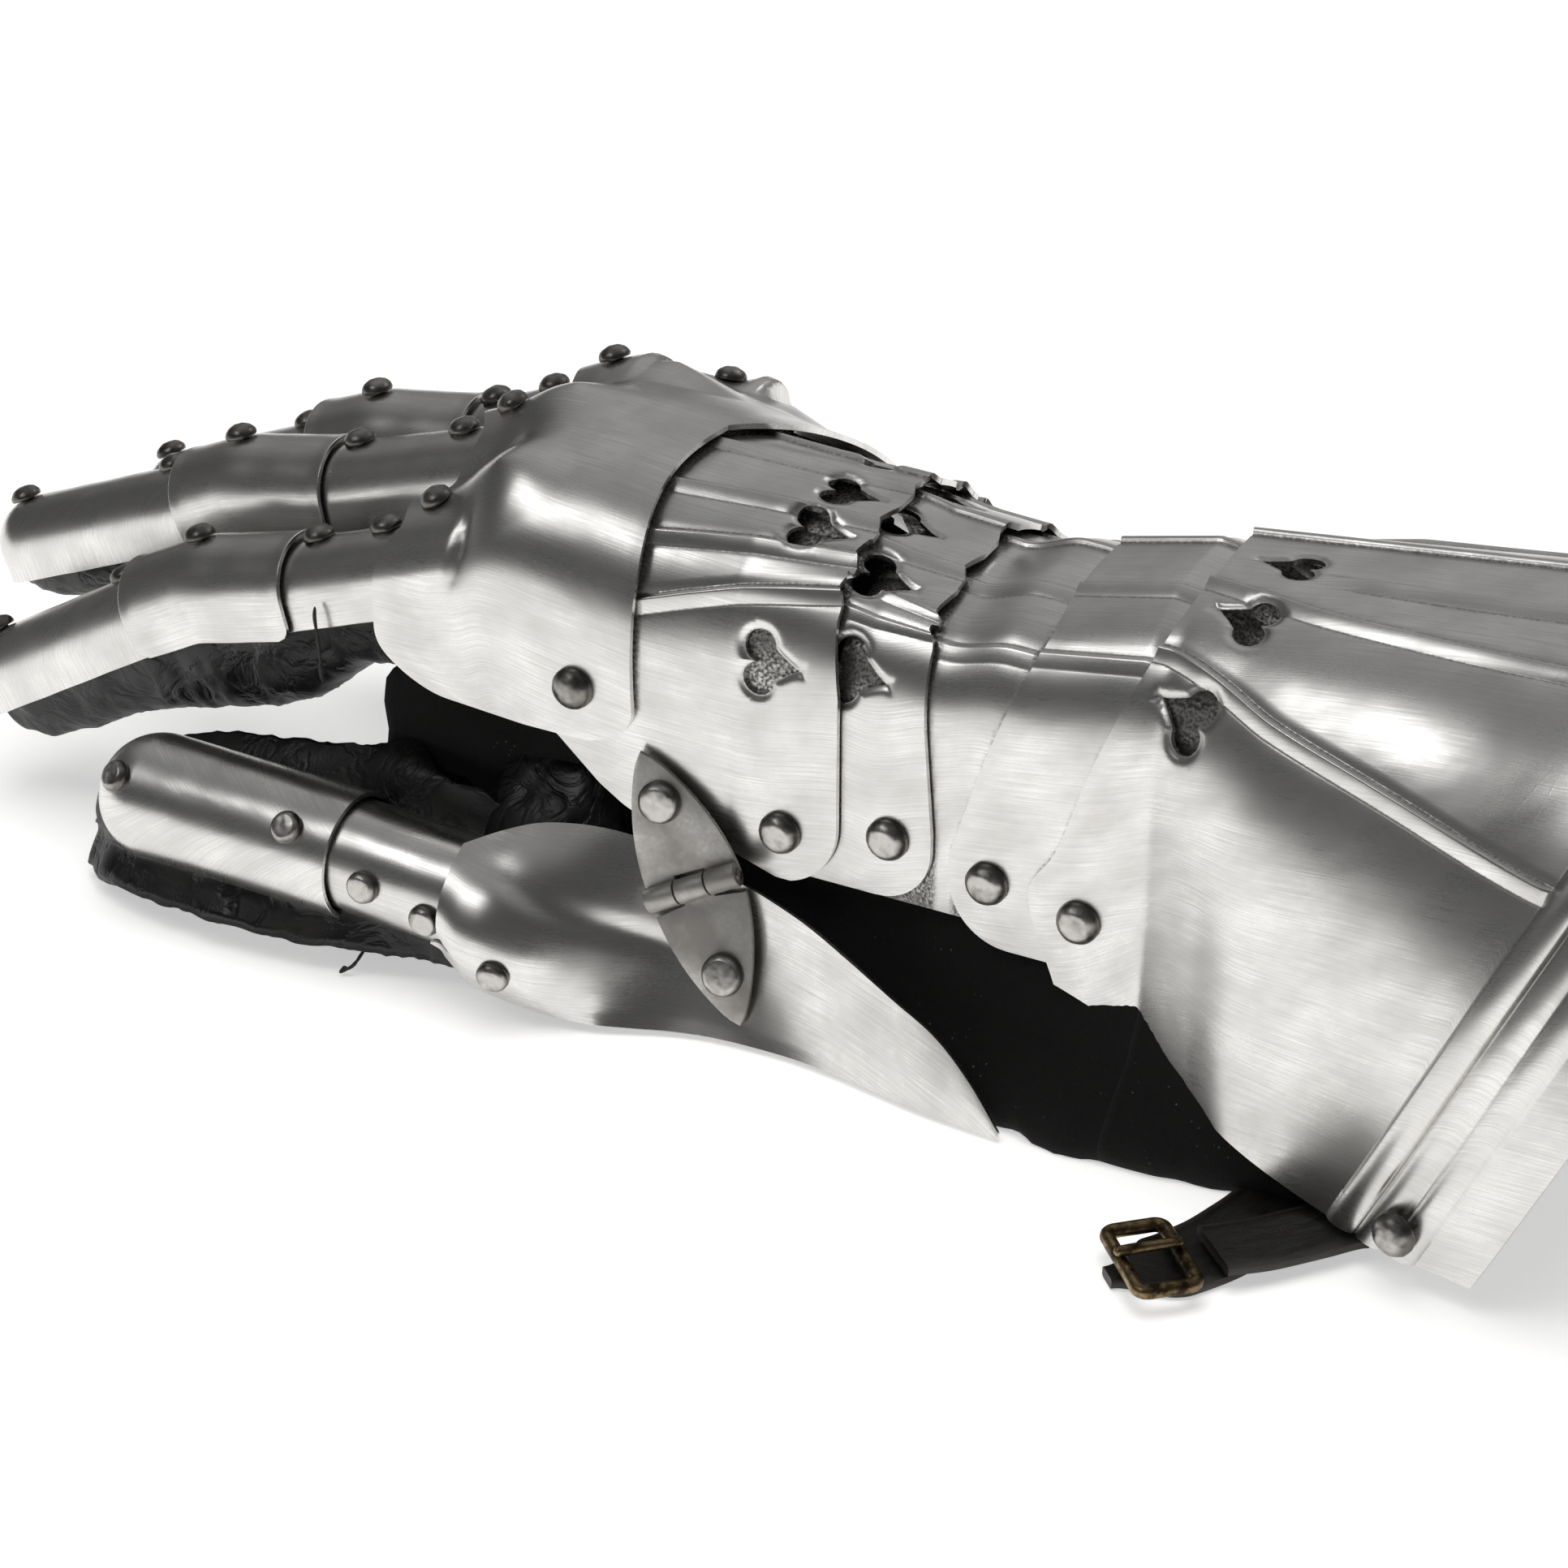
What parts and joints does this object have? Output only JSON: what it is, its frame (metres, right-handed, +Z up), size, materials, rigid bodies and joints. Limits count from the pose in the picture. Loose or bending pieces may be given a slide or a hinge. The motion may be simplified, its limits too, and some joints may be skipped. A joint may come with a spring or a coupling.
{
  "type": "gothic gauntlet",
  "caption": "Fluted gothic steel gauntlet for the right hand, lying palm down: bell cuff, wrist lames, knuckle plate and finger scales riveted over a black leather glove.",
  "frame": {"origin": "on the resting plane, under the middle of the wrist between the front and the wrist lame's rivets", "axes": "+X towards the elbow along the forearm, +Y towards the little finger, +Z up away from the palm"},
  "size_m": [0.395, 0.1628, 0.1126],
  "materials": {
    "steel": "satin",
    "rivet_steel": "satin",
    "suede": "matte",
    "leather": "satin",
    "brass": "satin"
  },
  "bodies": {
    "cuff": {"cuff_plate": "steel", "cuff_rivets": "rivet_steel", "glove_cuff": "suede", "buckle_strap": "leather", "tongue_strap": "leather"},
    "rear_lame": {"rear_lame": "steel", "rear_lame_rivets": "rivet_steel"},
    "wrist_lame": {"wrist_lame": "steel"},
    "front_lame": {"front_lame": "steel", "front_lame_rivets": "rivet_steel"},
    "metacarpal": {"metacarpal_plate": "steel", "metacarpal_rivets": "rivet_steel", "glove_hand": "suede", "hinge_leaf_upper": "steel", "hinge_pin": "rivet_steel"},
    "knuckles": {"knuckle_plate": "steel", "knuckle_rivets": "rivet_steel"},
    "index_base": {"index_scale_base": "steel", "index_rivets_base": "rivet_steel", "index_glove_base": "leather"},
    "index_middle": {"index_scale_middle": "steel", "index_rivets_middle": "rivet_steel"},
    "index_tip": {"index_scale_tip": "steel", "index_rivets_tip": "rivet_steel", "index_glove_tip": "leather"},
    "middle_base": {"middle_scale_base": "steel", "middle_rivets_base": "rivet_steel", "middle_glove_base": "leather"},
    "middle_middle": {"middle_scale_middle": "steel", "middle_rivets_middle": "rivet_steel"},
    "middle_tip": {"middle_scale_tip": "steel", "middle_rivets_tip": "rivet_steel", "middle_glove_tip": "leather"},
    "ring_base": {"ring_scale_base": "steel", "ring_rivets_base": "rivet_steel", "ring_glove_base": "leather"},
    "ring_middle": {"ring_scale_middle": "steel", "ring_rivets_middle": "rivet_steel"},
    "ring_tip": {"ring_scale_tip": "steel", "ring_rivets_tip": "rivet_steel", "ring_glove_tip": "leather"},
    "little_base": {"little_scale_base": "steel", "little_rivets_base": "rivet_steel", "little_glove_base": "leather"},
    "little_middle": {"little_scale_middle": "steel", "little_rivets_middle": "rivet_steel"},
    "little_tip": {"little_scale_tip": "steel", "little_rivets_tip": "rivet_steel", "little_glove_tip": "leather"},
    "thumb_base": {"thumb_base_plate": "steel", "thumb_base_rivets": "rivet_steel", "hinge_leaf_lower": "steel", "thumb_glove_base": "leather"},
    "thumb_middle": {"thumb_middle_scale": "steel", "thumb_middle_rivets": "rivet_steel"},
    "thumb_tip": {"thumb_tip_scale": "steel", "thumb_tip_rivets": "rivet_steel", "thumb_glove_tip": "leather"},
    "buckle_frame": {"buckle_frame": "brass"},
    "buckle_prong": {"buckle_prong": "brass"}
  },
  "joints": [
    {"name": "rear_lame_swing", "type": "hinge", "parent": "cuff", "child": "rear_lame", "pos_m": [0.0311, 0, 0.0381], "axis": [0, -1, 0], "range_deg": [-2, 4]},
    {"name": "wrist_lame_swing", "type": "hinge", "parent": "rear_lame", "child": "wrist_lame", "pos_m": [0.0123, 0, 0.04], "axis": [0, -1, 0], "range_deg": [-2, 4]},
    {"name": "front_lame_swing", "type": "hinge", "parent": "wrist_lame", "child": "front_lame", "pos_m": [-0.0077, 0, 0.0437], "axis": [0, -1, 0], "range_deg": [-2, 4]},
    {"name": "metacarpal_swing", "type": "hinge", "parent": "front_lame", "child": "metacarpal", "pos_m": [-0.0289, 0, 0.0402], "axis": [0, -1, 0], "range_deg": [-2, 5]},
    {"name": "knuckles_swing", "type": "hinge", "parent": "metacarpal", "child": "knuckles", "pos_m": [-0.069, 0, 0.0624], "axis": [0, -1, 0], "range_deg": [-2, 8]},
    {"name": "index_knuckle", "type": "hinge", "parent": "knuckles", "child": "index_base", "pos_m": [-0.1067, -0.0324, 0.0807], "axis": [0, -1, 0], "range_deg": [0, 15]},
    {"name": "index_bend", "type": "hinge", "parent": "index_base", "child": "index_middle", "pos_m": [-0.144, -0.0324, 0.06771], "axis": [0, -1, 0], "range_deg": [0, 32]},
    {"name": "index_tip_bend", "type": "hinge", "parent": "index_middle", "child": "index_tip", "pos_m": [-0.1712, -0.0324, 0.05765], "axis": [0, -1, 0], "range_deg": [-2, 25]},
    {"name": "middle_knuckle", "type": "hinge", "parent": "knuckles", "child": "middle_base", "pos_m": [-0.1039, -0.0088, 0.092], "axis": [0, -1, 0], "range_deg": [0, 15]},
    {"name": "middle_bend", "type": "hinge", "parent": "middle_base", "child": "middle_middle", "pos_m": [-0.15028, -0.0088, 0.07782], "axis": [0, -1, 0], "range_deg": [0, 32]},
    {"name": "middle_tip_bend", "type": "hinge", "parent": "middle_middle", "child": "middle_tip", "pos_m": [-0.17512, -0.0088, 0.07013], "axis": [0, -1, 0], "range_deg": [-2, 25]},
    {"name": "ring_knuckle", "type": "hinge", "parent": "knuckles", "child": "ring_base", "pos_m": [-0.0984, 0.0148, 0.0942], "axis": [0, -1, 0], "range_deg": [0, 15]},
    {"name": "ring_bend", "type": "hinge", "parent": "ring_base", "child": "ring_middle", "pos_m": [-0.13332, 0.0148, 0.0808], "axis": [0, -1, 0], "range_deg": [0, 32]},
    {"name": "ring_tip_bend", "type": "hinge", "parent": "ring_middle", "child": "ring_tip", "pos_m": [-0.15826, 0.0148, 0.07421], "axis": [0, -1, 0], "range_deg": [-2, 25]},
    {"name": "little_knuckle", "type": "hinge", "parent": "knuckles", "child": "little_base", "pos_m": [-0.087, 0.0384, 0.0834], "axis": [0, -1, 0], "range_deg": [0, 15]},
    {"name": "little_bend", "type": "hinge", "parent": "little_base", "child": "little_middle", "pos_m": [-0.11686, 0.0384, 0.07109], "axis": [0, -1, 0], "range_deg": [0, 32]},
    {"name": "little_tip_bend", "type": "hinge", "parent": "little_middle", "child": "little_tip", "pos_m": [-0.13736, 0.0384, 0.0631], "axis": [0, -1, 0], "range_deg": [-2, 25]},
    {"name": "thumb_hinge", "type": "hinge", "parent": "metacarpal", "child": "thumb_base", "pos_m": [-0.0432, -0.04706, 0.0283], "axis": [0.8682, 0.2683, 0.4174], "range_deg": [-5, 9]},
    {"name": "thumb_bend", "type": "hinge", "parent": "thumb_base", "child": "thumb_middle", "pos_m": [-0.07821, -0.06097, 0.02373], "axis": [0, 0.6428, 0.766], "range_deg": [-12, 3]},
    {"name": "thumb_tip_bend", "type": "hinge", "parent": "thumb_middle", "child": "thumb_tip", "pos_m": [-0.11099, -0.06427, 0.02791], "axis": [0, 0.6428, 0.766], "range_deg": [-10, 2]},
    {"name": "buckle_turn", "type": "hinge", "parent": "cuff", "child": "buckle_frame", "pos_m": [0.06975, -0.0789, 0.0045], "axis": [-0.6919, 0.722, 0], "range_deg": [0, 30]},
    {"name": "prong_turn", "type": "hinge", "parent": "buckle_frame", "child": "buckle_prong", "pos_m": [0.06975, -0.0789, 0.0069], "axis": [-0.6919, 0.722, 0], "range_deg": [0, 60]}
  ]
}
